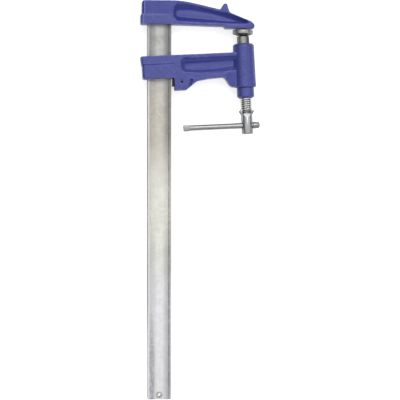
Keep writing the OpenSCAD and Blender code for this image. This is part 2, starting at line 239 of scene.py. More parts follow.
class ClampStudio(bpy.types.PropertyGroup):
    """Camera and lights"""

    distance: size("Camera distance", "From the lens to the clamp", 2.4, 0.5, 6)
    field: size("Field", "Height of the view at the clamp", 0.5833, 0.1, 3)
    middle_x: size("Middle along the bar", "Middle of the view along X", 0.2501, -1, 1)
    middle_y: size("Middle across the throat", "Middle of the view along Y", -0.0627, -1, 1)
    yaw: bpy.props.FloatProperty(
        name="Yaw", description="Turn of the camera towards the bar's side",
        default=math.radians(5), subtype="ANGLE",
    )
    key: level("Key light", "Power of the key light", 10.2, "POWER")
    fill: level("Fill light", "Power of the far strip light", 3, "POWER")
    near: level("Near light", "Power of the near strip light", 1.2, "POWER")
    zenith: level("Sky overhead", "Strength of the world overhead", 0.9)
    horizon: level("Sky at the horizon", "Strength of the world low down", 0.1)


def sizes():
    return bpy.context.scene.clamp_sizes


def colours():
    return bpy.context.scene.clamp_colours


# ---- Meshes ----


def mesh_object(name, mesh):
    piece = bpy.data.objects.new(name, mesh)
    bpy.context.scene.collection.objects.link(piece)
    return piece


def from_bmesh(name, bm, place=None, recalc=True):
    """Makes an object from bm, moved to its place in the frame."""
    if recalc:
        bmesh.ops.recalc_face_normals(bm, faces=bm.faces)
    if place is not None:
        bm.transform(place)
    mesh = bpy.data.meshes.new(name)
    bm.to_mesh(mesh)
    bm.free()
    return mesh_object(name, mesh)


def solid_copy(node):
    """A CAD node's loose triangles, merged into one skin."""
    bm = bmesh.new()
    bm.from_mesh(frame["nodes"][node].data)
    bmesh.ops.remove_doubles(bm, verts=bm.verts, dist=1e-6)
    return bm


def baked(piece):
    """Applies a piece's modifiers, so that it is a plain mesh."""
    graph = bpy.context.evaluated_depsgraph_get()
    mesh = bpy.data.meshes.new_from_object(piece.evaluated_get(graph))
    old = piece.data
    piece.modifiers.clear()
    piece.data = mesh
    mesh.name = piece.name
    bpy.data.meshes.remove(old)
    return piece


def shade(piece, angle=30):
    """Smooth shading, with edges sharper than the angle kept crisp."""
    for polygon in piece.data.polygons:
        polygon.use_smooth = True
    piece.data.set_sharp_from_angle(angle=math.radians(angle))
    return piece


def join(name, pieces):
    """One object from several that sit at the origin."""
    bm = bmesh.new()
    for piece in pieces:
        bm.from_mesh(piece.data)
    for piece in pieces:
        bpy.data.objects.remove(piece)
    return from_bmesh(name, bm, recalc=False)


def arc(centre, radius, start, end, steps):
    """Points on an arc, angles in degrees."""
    turn = [math.radians(start + (end - start) * i / steps) for i in range(steps + 1)]
    return [(centre[0] + radius * math.cos(t), centre[1] + radius * math.sin(t)) for t in turn]


def rounded(path, steps=5):
    """An outline from (x, y, radius) corners, each rounded by an arc that touches both sides."""
    out = []
    for i, (x, y, r) in enumerate(path):
        b = Vector((x, y))
        if not r:
            out.append((x, y))
            continue
        u = (Vector(path[i - 1][:2]) - b).normalized()
        w = (Vector(path[(i + 1) % len(path)][:2]) - b).normalized()
        half = u.angle(w) / 2
        centre = b + (u + w).normalized() * (r / math.sin(half))
        first = b + u * (r / math.tan(half)) - centre
        last = b + w * (r / math.tan(half)) - centre
        start = math.atan2(first.y, first.x)
        turn = math.atan2(first.x * last.y - first.y * last.x, first.dot(last))
        for k in range(steps + 1):
            t = start + turn * k / steps
            out.append((centre.x + r * math.cos(t), centre.y + r * math.sin(t)))
    return out


def band_of_faces(bm, low, high):
    """Joins two rings of the same length with four-sided faces."""
    n = len(low)
    for i in range(n):
        bm.faces.new((low[i], low[(i + 1) % n], high[(i + 1) % n], high[i]))


def tube(rings):
    """A closed skin over rings of points, each ring the same length, with flat ends."""
    bm = bmesh.new()
    rows = [[bm.verts.new(p) for p in ring] for ring in rings]
    for low, high in zip(rows, rows[1:]):
        band_of_faces(bm, low, high)
    bm.faces.new(rows[0])
    bm.faces.new(rows[-1])
    bmesh.ops.remove_doubles(bm, verts=bm.verts, dist=1e-7)
    return bm


def lathe(name, path, place, steps=5, around=96, closed=True):
    """A turned piece along X: path holds (x, radius, corner radius) in millimetres."""
    bm = bmesh.new()
    turn = [2 * math.pi * i / around for i in range(around)]
    rows = []
    for x, r in rounded(path, steps):
        if r < 1e-6:
            rows.append([bm.verts.new((x * MM, 0, 0))])
            continue
        ring = [(x * MM, r * MM * math.cos(t), r * MM * math.sin(t)) for t in turn]
        rows.append([bm.verts.new(p) for p in ring])
    pairs = list(zip(rows, rows[1:])) + ([(rows[-1], rows[0])] if closed else [])
    for low, high in pairs:
        if len(low) == 1 and len(high) == 1:
            continue
        for i in range(around):
            k = (i + 1) % around
            corners = ((low, i), (low, k), (high, k), (high, i))
            ring = [row[j % len(row)] for row, j in corners]
            ring = [v for j, v in enumerate(ring) if v not in ring[:j]]
            if len(ring) > 2:
                bm.faces.new(ring)
    bmesh.ops.remove_doubles(bm, verts=bm.verts, dist=1e-7)
    return from_bmesh(name, bm, place)


def rod(name, x0, x1, radius, place, around=64):
    """A plain cylinder along X, in millimetres."""
    path = [(x0, 0, 0), (x0, radius, 0), (x1, radius, 0), (x1, 0, 0)]
    return lathe(name, path, place, around=around)


def plate(name, outline, thickness, place, bevel=0.0):
    """A flat piece from an outline in millimetres, centred on Z = 0, with softened edges."""
    bm = bmesh.new()
    half = thickness / 2 * MM
    low = [bm.verts.new((x * MM, y * MM, -half)) for x, y in outline]
    high = [bm.verts.new((x * MM, y * MM, half)) for x, y in outline]
    band_of_faces(bm, low, high)
    bm.faces.new(low)
    bm.faces.new(high)
    piece = from_bmesh(name, bm, place)
    if bevel:
        soften(piece, bevel)
    return piece


def soften(piece, width, segments=3, angle=35):
    """Rounds the sharp edges of a piece, by a width in millimetres."""
    mod = piece.modifiers.new("Soften", "BEVEL")
    mod.width = width * MM
    mod.segments = segments
    mod.limit_method = "ANGLE"
    mod.angle_limit = math.radians(angle)
    mod.use_clamp_overlap = True
    return baked(piece)


def cut(piece, *cutters):
    """Takes each cutter out of the piece."""
    for cutter in cutters:
        mod = piece.modifiers.new("Cut", "BOOLEAN")
        mod.operation = "DIFFERENCE"
        mod.solver = "EXACT"
        mod.object = cutter
    baked(piece)
    for cutter in cutters:
        bpy.data.objects.remove(cutter)
    return piece


def mark(piece, name, values):
    """Writes one number per vertex, or one for all, which the finish reads."""
    layer = piece.data.attributes.new(name, "FLOAT", "POINT")
    if isinstance(values, float):
        values = [values] * len(piece.data.vertices)
    for cell, value in zip(layer.data, values):
        cell.value = value
    return piece


def clamped(value, low=0.0, high=1.0):
    return min(max(value, low), high)


def rise(value, start, full):
    """Goes evenly from 0 to 1 while the value goes from start to full, which may be lower."""
    return clamped((value - start) / (full - start))


def bell(offset, width):
    """1 at no offset, falling smoothly to nothing over about twice the width."""
    return math.exp(-((offset / width) ** 2))


# ---- Finishes ----


def scaled(colour, *by):
    """A colour times one number, or times one for each channel."""
    return tuple(v * k for v, k in zip(colour, by * 3 if len(by) == 1 else by))


class Nodes:
    """Puts nodes in a tree and joins them up."""

    def __init__(self, tree):
        self.tree = tree

    def feed(self, socket, value):
        """Links a socket to a node's output, or gives it a number or a colour."""
        if hasattr(value, "is_output"):
            self.tree.links.new(value, socket)
        elif socket.type == "RGBA":
            socket.default_value = (*value, 1)
        else:
            socket.default_value = value

    def fill(self, node, **values):
        """Feeds a node's inputs by their names, with _ for a space."""
        for name, value in values.items():
            self.feed(node.inputs[name.replace("_", " ")], value)

    def node(self, kind, **values):
        node = self.tree.nodes.new(kind)
        self.fill(node, **values)
        return node

    def math(self, operation, *values):
        node = self.node("ShaderNodeMath")
        node.operation = operation
        for socket, value in zip(node.inputs, values):
            self.feed(socket, value)
        return node.outputs[0]

    def times(self, *factors):
        out = factors[0]
        for factor in factors[1:]:
            out = self.math("MULTIPLY", out, factor)
        return out

    def plus(self, a, b):
        return self.math("ADD", a, b)

    def less(self, a, b):
        return self.math("SUBTRACT", a, b)

    def ramp(self, value, low, high, to_low=0.0, to_high=1.0):
        """Goes smoothly from to_low to to_high while the value goes from low to high."""
        node = self.node("ShaderNodeMapRange", Value=value, From_Min=low, From_Max=high,
                         To_Min=to_low, To_Max=to_high)
        node.interpolation_type = "SMOOTHSTEP"
        return node.outputs["Result"]

    def split(self, vector, axis):
        return self.node("ShaderNodeSeparateXYZ", Vector=vector).outputs[axis]


class Finish(Nodes):
    """Builds one material's nodes."""

    def __init__(self, name):
        self.material = bpy.data.materials.new(name)
        self.material.use_nodes = True
        super().__init__(self.material.node_tree)
        self.shader = self.tree.nodes["Principled BSDF"]
        self.place = self.node("ShaderNodeTexCoord").outputs["Object"]

    def set(self, **values):
        self.fill(self.shader, **values)

    def stretched(self, x, y, z):
        """The clamp's own coordinates, scaled along each axis."""
        node = self.node("ShaderNodeMapping", Vector=self.place, Scale=(x, y, z))
        return node.outputs["Vector"]

    def noise(self, scale, detail=4.0, roughness=0.55, where=None, distortion=0.0):
        node = self.node("ShaderNodeTexNoise", Vector=where or self.place, Scale=scale,
                         Detail=detail, Roughness=roughness, Distortion=distortion)
        return node.outputs["Fac"]

    def band(self, value, start, full, leave, end):
        """1 from full to leave, and 0 before start and after end."""
        return self.times(self.ramp(value, start, full), self.ramp(value, end, leave))

    def coats(self, base, *coats):
        """Lays each (amount, colour) over what is there."""
        for amount, tone in coats:
            node = self.node("ShaderNodeMix")
            node.data_type = "RGBA"
            for key, value in ((0, amount), (6, base), (7, tone)):
                self.feed(node.inputs[key], value)
            base = node.outputs[2]
        return base

    def axis(self, name):
        return self.split(self.place, name)

    def facing(self, axis):
        """How far the surface faces along one of the clamp's axes."""
        return self.split(self.node("ShaderNodeTexCoord").outputs["Normal"], axis)

    def attribute(self, name):
        node = self.node("ShaderNodeAttribute")
        node.attribute_name = name
        return node.outputs["Fac"]

    def pointiness(self):
        return self.node("ShaderNodeNewGeometry").outputs["Pointiness"]

    def bump(self, *layers):
        """Stacks (height, strength, depth in millimetres) layers on the normal."""
        below = {}
        for height, amount, depth in layers:
            node = self.node("ShaderNodeBump", Strength=amount, Distance=depth * MM,
                             Height=height, **below)
            below = {"Normal": node.outputs["Normal"]}
        self.set(**below)


FINISHES = {}


def finish(name):
    """The finished material of that name, made the first time it is asked for."""
    if name not in FINISHES:
        FINISHES[name] = MAKERS[name]()
    return FINISHES[name]


def jaw_paint():
    """Enamel on sand castings, clouded and flecked by the sand, with painted shade in creases and
    recesses, on steep walls and on faces turned to -Y, painted shade and highlight from the
    casting's shade mark, and edges lightened, partly worn thin, partly painted highlight.
    """
    f = Finish("jaw_paint")
    c = colours()
    deep = scaled(c.paint, 0.66, 0.66, 0.74)
    cloud = f.ramp(f.noise(70, 5, 0.6), 0.36, 0.64)
    fleck = f.ramp(f.noise(330, 4, 0.65), 0.4, 0.62)
    # Lighter paint on convex edges, partly worn thin and partly a painted highlight.
    edge = f.ramp(f.pointiness(), 0.506, 0.55)
    chip_and_highlight = f.times(edge, f.ramp(f.noise(210, 4, 0.6), 0.5, 0.6, 0.55, 1))
    # Painted shade in concave creases.
    crease_shade = f.ramp(f.pointiness(), 0.44, 0.494, 1, 0)
    # Painted shade on steep walls, whose faces turn sideways.
    wall_shade = f.ramp(f.math("ABSOLUTE", f.facing("Z")), 0.7, 0.2)
    light = f.ramp(f.noise(290, 3, 0.6, f.stretched(1.3, 1, 0.9)), 0.5, 0.66)
    # Painted shade in the recesses, low in the casting's thickness.
    low = f.ramp(f.math("ABSOLUTE", f.axis("Z")), 0.0035, 0.0095, 1, 0)
    body = f.coats(
        c.paint,
        (f.times(cloud, 0.6), deep),
        (f.times(fleck, 0.75), deep),
        (f.times(light, 0.16), c.thin_paint_and_highlight),
        (f.times(low, 0.5), deep),
        (f.times(wall_shade, 0.4), scaled(deep, 0.7)),
        # Painted shade on faces turned towards -Y.
        (f.ramp(f.facing("Y"), -0.2, -0.75, 0, 0.45), scaled(deep, 0.6)),
        (f.times(crease_shade, 0.65), scaled(deep, 0.5)),
        # Where the casting is marked, painted shade darkens the paint, and below zero a painted
        # highlight lightens it; on the jaw's box the mark only darkens it.
        (f.ramp(f.attribute("shade"), 0, 1), scaled(c.paint, 0.18, 0.2, 0.72)),
        (f.ramp(f.attribute("shade"), 0, -1), c.thin_paint_and_highlight),
        (chip_and_highlight, c.thin_paint_and_highlight),
    )
    f.set(
        Base_Color=body, Roughness=f.ramp(f.noise(140, 4), 0.3, 0.75, 0.38, 0.52),
        Coat_Weight=0.1, Coat_Roughness=0.2,
    )
    f.bump((f.noise(260, 3), 0.45, 0.25), (f.noise(1100, 2), 0.3, 0.06))
    return f.material


def plated_bar():
    """Zinc on rolled steel. Along is in metres, and side runs from -1 at one edge to 1."""
    f = Finish("plated_bar")
    c = colours()
    low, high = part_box("bar")
    along = f.axis("X")
    side = f.less(f.axis("Y"), (low.y + high.y) / 2)
    side = f.math("DIVIDE", side, (high.y - low.y) / 2)
    foot = f.ramp(along, 0.38, 0.48)
    streak = f.ramp(f.noise(1, 5, 0.6, f.stretched(18, 420, 420)), 0.35, 0.7)
    speck = f.ramp(f.noise(260, 5, 0.72, f.stretched(0.5, 1, 1)), 0.36, 0.62)

    # Handling has mottled the upper stretch.
    swirl = f.ramp(f.noise(95, 3, 0.6, f.stretched(1, 0.7, 1), 1.5), 0.36, 0.62)
    swirl = f.times(swirl, f.ramp(along, 0.04, 0.2, 1, 0.3))
    blotch = f.ramp(f.noise(26, 6, 0.62, f.stretched(0.6, 1, 1)), 0.36, 0.66)

    # Painted shade darkens the far half of the channel and the far rib, most near the jaws and
    # least in the middle of the bar, and the near side of the channel more faintly.
    clear = f.band(along, 0.15, 0.21, 0.27, 0.33)
    rib = f.times(f.ramp(side, 0.86, 0.92), f.ramp(along, 0.1, 0.36, 0.2, 0.7))
    far = f.less(f.ramp(along, 0.2, 0.36, 1, 0.72), f.times(clear, 0.62))
    far = f.plus(far, f.ramp(along, 0.03, 0.1, 0.25, 0))
    far = f.times(far, f.less(f.ramp(side, 0.15, 0.72, 0, 0.62), f.times(rib, 0.5)))
    far_rib = f.times(f.ramp(side, 0.86, 0.92, 0, 0.32), f.ramp(along, 0.42, 0.34))
    near = f.less(f.ramp(along, 0.02, 0.1, 0.45, 0.2), f.times(clear, 0.16))
    near = f.plus(near, f.times(foot, 0.04))
    near = f.times(f.band(side, -0.85, -0.7, -0.5, -0.12), near)

    # Dark speckled marks lie beside the ribs: a line on the far side, and a band on the near side,
    # which is wider at the foot and strongest there and near the jaws.
    line = f.band(side, 0.7, 0.76, 0.84, 0.9)
    line = f.times(line, f.plus(f.times(speck, 0.35), 0.2))
    inner = f.less(side, f.plus(-0.62, f.times(foot, 0.17)))
    near_speckle_band = f.times(f.ramp(side, -0.88, -0.8), f.ramp(inner, 0.08, -0.06))
    there = f.math("MAXIMUM", f.ramp(along, 0.03, 0.09, 0.75, 0.16), f.times(foot, 0.75))
    near_speckle_band = f.times(near_speckle_band, there, f.plus(f.times(speck, 0.5), 0.25))

    # Painted highlight along the near rib, with painted shade along its outer edge.
    rib_highlight = f.times(f.ramp(side, -0.8, -0.86), f.ramp(along, 0.04, 0.08))
    rim_shade = f.times(f.ramp(along, 0.04, 0.09, 0.3, 1), f.ramp(along, 0.4, 0.47, 1, 0.35))
    # The first colour is the painted shade on the channel's far side; the second is the tone of
    # the dark speckled lines.
    dull, dark_speckle_tone = (0.16, 0.16, 0.165), (0.1, 0.1, 0.1)
    tone = f.coats(
        c.bar_top,
        (f.ramp(along, 0.03, 0.12), c.bar_warm),
        (f.ramp(along, 0.15, 0.25), c.bar_bright),
        (f.ramp(along, 0.3, 0.4), c.bar_cool),
        (f.times(swirl, 0.4), (0.3, 0.29, 0.27)),
        (f.times(blotch, 0.15), (0.5, 0.49, 0.46)),
        (f.times(streak, 0.1), (0.4, 0.4, 0.39)),
        (far, dull),
        (far_rib, dull),
        (near, (0.16, 0.16, 0.17)),
        (line, dark_speckle_tone),
        (near_speckle_band, (0.2, 0.195, 0.24)),
        (f.times(rib_highlight, 0.55), (0.88, 0.88, 0.88)),
        (f.times(f.ramp(side, -0.9, -0.96, 0, 0.76), rim_shade), (0.1, 0.1, 0.11)),
    )
    f.set(
        Base_Color=tone, Metallic=0.6, IOR=1.6,
        Roughness=f.ramp(f.noise(60, 5, 0.6), 0.3, 0.7, 0.42, 0.6),
    )
    grain = f.noise(180, 5, 0.6)
    f.bump((grain, 0.25, 0.12), (f.noise(1400, 2), 0.3, 0.03), (streak, 0.15, 0.03))
    return f.material


def bright_zinc():
    """Plating on the screw and its parts, dull, rubbed or greasy where a piece is marked so, with
    painted shadow on the shank through the same mark as the grease.
    """
    f = Finish("bright_zinc")
    warm = f.ramp(f.noise(45, 3, where=f.stretched(1, 1, 1.4)), 0.45, 0.7)
    cloud = f.ramp(f.noise(90, 4), 0.35, 0.7)
    satin = f.ramp(f.noise(220, 5, 0.65), 0.3, 0.72, 0.26, 0.4)
    dull = f.attribute("dull")
    # Darker where marked: grease in the thread's roots, and painted shadow down the shank.
    dark = f.times(f.ramp(f.attribute("grease_and_shadow"), 0.45, 0.95), 0.95)
    tone = f.coats(
        colours().zinc,
        (f.times(warm, 0.3), (0.5, 0.48, 0.4)),
        (f.times(cloud, 0.3), (0.33, 0.34, 0.37)),
        (f.times(dull, 0.75), (0.26, 0.255, 0.23)),
        (f.times(f.attribute("rubbed"), 0.85), (0.75, 0.76, 0.76)),
        (dark, (0.15, 0.147, 0.135)),
    )
    satin = f.plus(satin, f.times(dull, 0.14))
    f.set(
        Base_Color=tone, Metallic=1.0, Roughness=f.plus(satin, f.times(dark, 0.2)),
        Specular_Tint=(0.15, 0.15, 0.15),
    )
    f.bump((f.noise(420, 4), 0.15, 0.05), (f.noise(1800, 2), 0.15, 0.02))
    return f.material


def black_steel():
    """Blackened steel, worn grey on its edges."""
    f = Finish("black_steel")
    edge = f.ramp(f.pointiness(), 0.52, 0.6)
    f.set(
        Base_Color=f.coats(colours().black, (f.times(edge, 0.3), (0.1, 0.1, 0.1))),
        Roughness=f.ramp(f.noise(300, 4), 0.3, 0.7, 0.4, 0.6), Metallic=0.3,
    )
    f.bump((f.noise(700, 4), 0.3, 0.06))
    return f.material


def stained_steel(name, tone):
    """Bare hardened steel with small brown stains."""
    f = Finish(name)
    stain = f.ramp(f.noise(300, 5, 0.65), 0.38, 0.68)
    f.set(
        Base_Color=f.coats(tone, (f.times(stain, 0.5), (0.12, 0.11, 0.1))),
        Metallic=0.9, Roughness=f.ramp(f.noise(500, 3), 0.3, 0.7, 0.3, 0.5),
    )
    f.bump((f.noise(1500, 3), 0.2, 0.03))
    return f.material


MAKERS = {
    "jaw_paint": jaw_paint, "plated_bar": plated_bar, "bright_zinc": bright_zinc,
    "black_steel": black_steel,
    "spring_steel": lambda: stained_steel("spring_steel", colours().spring),
    "spring_pin": lambda: stained_steel("spring_pin", colours().pin),
}


def dress(piece, body, slot, *nodes):
    """Gives a finished piece its material and its body, and hides the CAD nodes that it stands
    for.
    """
    piece.data.materials.clear()
    piece.data.materials.append(finish(slot))
    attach(piece, body)
    if nodes:
        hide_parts(*nodes)
    return piece


# ---- Bar ----


def bar_section():
    """The rolled section as (y, z) points in millimetres, round the bar's middle."""
    low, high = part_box("bar")
    s = sizes()
    half_w, half_t = (high.y - low.y) / 2 / MM, (high.z - low.z) / 2 / MM
    rib_y = half_w - s.bar_rib / MM
    drop, edge = s.bar_drop / MM, s.bar_edge / MM
    dished = s.bar_channel / MM - drop
    steps = [i / 14 * 2 - 1 for i in range(15)]
    face = [(-half_w, half_t, edge), (-rib_y, half_t, 0.5)]
    face += [(t * (rib_y - 0.8), half_t - drop - dished * (1 - t * t), 0) for t in steps]
    face += [(rib_y, half_t, 0.5), (half_w, half_t, edge)]
    return rounded(face + [(y, -z, r) for y, z, r in reversed(face)], 4)


def wander(bm, middle):
    """The rolled faces wander a little, and the long edges carry small dents."""
    for v in bm.verts:
        drift = noise.noise(Vector((v.co.x * 9, v.co.y * 30, v.co.z * 90)))
        dent = max(0.0, noise.noise(Vector((v.co.x * 160, v.co.y * 60, 3))) - 0.35)
        pull = 0.00004 * (1 + drift) + 0.0003 * dent
        v.co.z -= math.copysign(pull, v.co.z)
        v.co.y -= math.copysign(pull, v.co.y - middle)


def foot_cutter(foot, middle, side):
    """What a rounded corner takes off the foot of the bar."""
    foot, middle = foot / MM, middle / MM
    x, y = foot - FOOT_CORNER, BAR_HALF - FOOT_CORNER
    outline = arc((x, y), FOOT_CORNER, 0, 90, 8)
    outline += [(x, BAR_HALF + 2), (foot + 2, BAR_HALF + 2), (foot + 2, y)]
    return plate("foot_cutter", [(x, middle + side * y) for x, y in outline], 20, None)


def stake(head, y, top):
    """One of the two upset nibs that hold the bar in the fixed jaw."""
    height = (head - top) / MM
    path = [(0.5, 0, 0), (0.5, 3, 0), (-height * 0.6, 2.6, 0.5), (-height, 1.9, 0.5),
            (-height, 0, 0)]
    return lathe("stake", path, Matrix.Translation((head, y, 0)), around=32)


class CLAMP_OT_bar(bpy.types.Operator):
    """Build the rolled bar, with its staked head and the hole for its stop pin"""

    bl_idname = "clamp.bar"
    bl_label = "Bar"

    def execute(self, context):
        low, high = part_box("bar")
        middle = ((low + high) / 2).y
        head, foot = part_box("fixed_jaw")[0].x, high.x
        section = bar_section()
        count = 240
        places = [head + (foot - head) * i / count for i in range(count + 1)]
        bm = tube([[(x, middle + y * MM, z * MM) for y, z in section] for x in places])
        wander(bm, middle)
        bar = from_bmesh("bar_rolled", bm)
        cutters = [foot_cutter(foot, middle, side) for side in (-1, 1)]
        stop = stop_pin_place() @ quarter("Y")
        cutters.append(rod("stop_hole", -12, 12, STOP_PIN["radius"], stop))
        cut(bar, *cutters)
        soften(bar, 0.35, 2, 50)
        reach = (BAR_HALF - STAKE_IN) * MM
        stakes = [stake(head, middle + side * reach, low.x) for side in (-1, 1)]
        bar = join("bar_rolled", [bar, *stakes])
        dress(shade(bar), "frame_bar", "plated_bar", "bar")
        return {"FINISHED"}


# ---- Pins ----


def stop_pin_place():
    low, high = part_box("end_stop_pin")
    return Matrix.Translation((low + high) / 2)


def rolled_pin(name, place, body, look, node, radius, bore, slit, plug=0.0):
    """A strip rolled up with a slit along it, clogged in the middle if it was painted over."""
    low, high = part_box(node)
    half = math.degrees(math.asin(slit / 2 / radius))
    inner_half = half * radius / bore
    outline = arc((0, 0), radius, half, 360 - half, 56)
    outline += arc((0, 0), bore, 360 - inner_half, inner_half, 56)
    pin = plate(name, outline, (high.z - low.z) / MM, place)
    soften(pin, 0.35, 3, 40)
    if plug:
        clog = rod("clog", -plug, plug, bore + 0.2, place @ quarter("Y"))
        pin = join(name, [pin, clog])
    return dress(shade(pin), body, look, node)


class CLAMP_OT_pins(bpy.types.Operator):
    """Build the stop pin in the bar's foot and the brake pin in the arm's lug"""

    bl_idname = "clamp.pins"
    bl_label = "Spring pins"

    def execute(self, context):
        rolled_pin("stop_pin_rolled", stop_pin_place(), "frame_bar", "spring_pin",
                   "end_stop_pin", **STOP_PIN)
        rolled_pin("brake_pin_rolled", ARM, "arm", "jaw_paint", "brake_pin", **BRAKE_PIN)
        return {"FINISHED"}


# ---- Castings ----


def between(table, at):
    """What a table of (place, value, value…) rows says at a place, between its neighbours."""
    at = clamped(at, table[0][0], table[-1][0])
    for low, high in zip(table, table[1:]):
        if at <= high[0]:
            part = (at - low[0]) / (high[0] - low[0])
            return [a + (b - a) * part for a, b in zip(low[1:], high[1:])]


# A touch rule moves one point, in millimetres, and says how much shade is painted on it: above 0
# painted shade, below 0 painted highlight.


def fall_away(point, gap):
    """Rounds off a box's left end over the last few millimetres, and gives the painted shade
    there.
    """
    part = rise(gap, END_ROUND, 0)
    point.z *= 1 - END_FALL * part ** 1.5
    return END_SHADE * part if abs(point.z) > END_FACE_Z else 0.0


def dish(x, crown, foot, top):
    """How much shade is painted on a pocket's floor, as on a dish: a painted highlight on its
    crown, painted shade more to either side.
    """
    off = rise(x, crown, foot) if x > crown else rise(x, crown, top) ** 1.6
    return FLANGE_SHADE * off + CROWN_SHADE * (1 - off)


def jaw_touch(point, flat):
    """The fixed jaw's left end with its painted shade and the painted highlight on its crest, its
    darker box, and the painted dish shading of its pocket, darker towards the pocket's left end.
    """
    x, y = point.xy
    inset, boxed = between(JAW_END, x)
    gap = y - JAW_LEFT - inset
    dark = fall_away(point, gap)
    if flat < FLAT:
        return dark
    if abs(point.z) > FACE_Z:
        # Painted highlight along the crest of the rounded end.
        crest = bell(gap - END_ROUND, 0.8)
        boxed *= rise(y, -84, -90)
        return dark + CREST_SHADE * crest + BOX_SHADE * boxed * (1 - crest)
    crown, foot = between(JAW_DISH, y)
    return dish(x, crown, foot, crown - 7) + JAW_TIP_SHADE * rise(y, -70, -90)


def arm_touch(point, flat):
    """The sliding arm's left end with its painted shade, the step along its box with its painted
    shadow line and the painted highlight on the lip above, painted highlight on its pocket's
    slopes, and the painted dish shading of its pocket, fading towards the sleeve.
    """
    near = rise(abs(point.x - BOX_STEP_X), 7, 0) * rise(point.y, -10, -40)
    point.x += 1.5 * near
    x, y = point.xy
    dark = fall_away(point, y - between(ARM_END, x)[0])
    if flat < FLAT:
        # Painted highlight on the pocket's slopes, lightest in a band where a ledge would lie.
        pocket = -36 < x < -12 and 0 < y < 88 and abs(point.z) < 10
        return dark + (SLOPE_SHADE + LEDGE_SHADE * bell(x - LEDGE_X, 1.3)) * pocket
    if abs(point.z) > FACE_Z:
        # A shallow step pressed into the face, with a painted shadow line along it and a painted
        # highlight on the lip above.
        step = bell(x - BOX_STEP_X, 0.75) * rise(y, -4, -12)
        lip = bell(x - LIP_X, 0.9) * rise(y, -10, -22)
        point.z -= math.copysign(BOX_STEP * step, point.z)
        return dark + STEP_SHADE * step + LIP_SHADE * lip
    if x > -8 and y < 20:
        return dark
    return dish(x, ARM_CROWN_X, ARM_FOOT_X, ARM_TOP_X) * (1 - 0.55 * rise(y, 30, 70))


def casting(name, node, body, place, touch):
    """A sand casting: the measured form remade from small cells, softened, with sand's grain."""
    s = sizes()
    piece = from_bmesh(name, solid_copy(node), recalc=False)
    cells = piece.modifiers.new("Cells", "REMESH")
    cells.mode = "VOXEL"
    cells.voxel_size = s.cast_voxel
    cells.adaptivity = 0
    soft = piece.modifiers.new("Softening", "SMOOTH")
    soft.factor = 0.5
    soft.iterations = s.cast_passes
    baked(piece)

    # Each touch rule reshapes the casting, and its number for each point, kept as the shade mark,
    # is painted shade above 0 and painted highlight below.
    back = place.inverted()
    darks = []
    for v, normal in zip(piece.data.vertices, piece.data.vertex_normals):
        point = back @ v.co / MM
        darks.append(touch(point, abs(normal.vector.z)))
        v.co = place @ (point * MM)
    mark(piece, "shade", darks)

    low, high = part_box(node)
    normals = [n.vector.copy() for n in piece.data.vertex_normals]
    for v, normal in zip(piece.data.vertices, normals):
        swell = noise.noise(v.co * 130)
        grain = noise.noise(v.co * 520) * 0.6 + noise.noise(v.co * 1100) * 0.4
        v.co += normal * (s.cast_grain * (swell + 0.45 * grain - 1))
        for k in range(3):
            v.co[k] = clamped(v.co[k], low[k], high[k])
    return dress(shade(piece, 180), body, "jaw_paint", node)


class CLAMP_OT_fixed_jaw(bpy.types.Operator):
    """Build the fixed jaw's casting"""

    bl_idname = "clamp.fixed_jaw"
    bl_label = "Fixed jaw"

    def execute(self, context):
        casting("fixed_jaw_cast", "fixed_jaw", "frame_bar", Matrix(), jaw_touch)
        return {"FINISHED"}


class CLAMP_OT_sliding_arm(bpy.types.Operator):
    """Build the sliding arm's casting"""

    bl_idname = "clamp.sliding_arm"
    bl_label = "Sliding arm"

    def execute(self, context):
        casting("sliding_arm_cast", "sliding_arm", "arm", ARM, arm_touch)
        return {"FINISHED"}


# ---- Brake ----


class CLAMP_OT_brake(bpy.types.Operator):
    """Finish the brake shoe and its leaf spring"""

    bl_idname = "clamp.brake"
    bl_label = "Brake"

    def execute(self, context):
        for node, body, slot in (("brake_shoe", "brake", "black_steel"),
                                 ("brake_spring", "arm", "spring_steel")):
            bm = solid_copy(node)
            flat = math.radians(1)
            bmesh.ops.dissolve_limit(bm, angle_limit=flat, verts=bm.verts, edges=bm.edges)
            piece = from_bmesh(node + "_finished", bm, recalc=False)
            soften(piece, 0.25, 2, 30)
            dress(shade(piece), body, slot, node)
        return {"FINISHED"}


# ---- Screw ----


